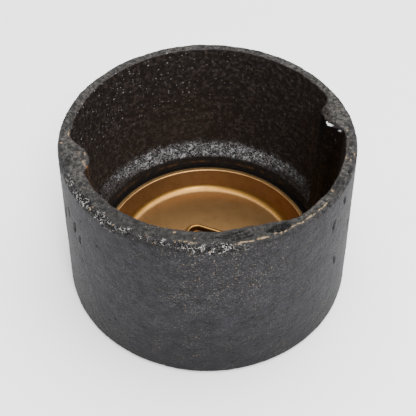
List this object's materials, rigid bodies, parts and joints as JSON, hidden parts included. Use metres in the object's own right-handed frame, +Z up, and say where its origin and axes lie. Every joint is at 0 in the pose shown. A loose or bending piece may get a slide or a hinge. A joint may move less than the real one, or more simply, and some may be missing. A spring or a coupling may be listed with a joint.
{
  "type": "sleeve bushing with bronze cup",
  "caption": "Short black cast-iron sleeve, open at the top, with two inner lugs, a thick lip on one side and a bronze cup screwed into its foot.",
  "frame": {"origin": "centre of the flat foot", "axes": "+Z up the sleeve's axis to the open mouth; the two inner lugs stand at 15 and 195 degrees from +X, towards +Y"},
  "size_m": [0.0876, 0.0876, 0.0545],
  "materials": {
    "black_iron": "black dip-coated rough casting, dusty and worn at the rim",
    "seal_rubber": "black, slightly glossy",
    "bronze": "satin, turned, darker on the sloping wall"
  },
  "bodies": {
    "sleeve": {"iron_sleeve": "black_iron"},
    "seal": {"seal_ring": "seal_rubber"},
    "cup": {"bronze_cup": "bronze"}
  },
  "joints": [
    {"name": "cup_travel", "type": "slide", "parent": "sleeve", "child": "seal", "axis": [0, 0, 1], "range_m": [0, 0.00338]},
    {"name": "cup_turn", "type": "hinge", "parent": "seal", "child": "cup", "pos_m": [0, 0, 0.005], "axis": [0, 0, 1], "range_deg": [0, 810]}
  ],
  "couplings": [
    {"joint": "cup_travel", "follows": "cup_turn", "m_per_rad": 0.00023873}
  ]
}
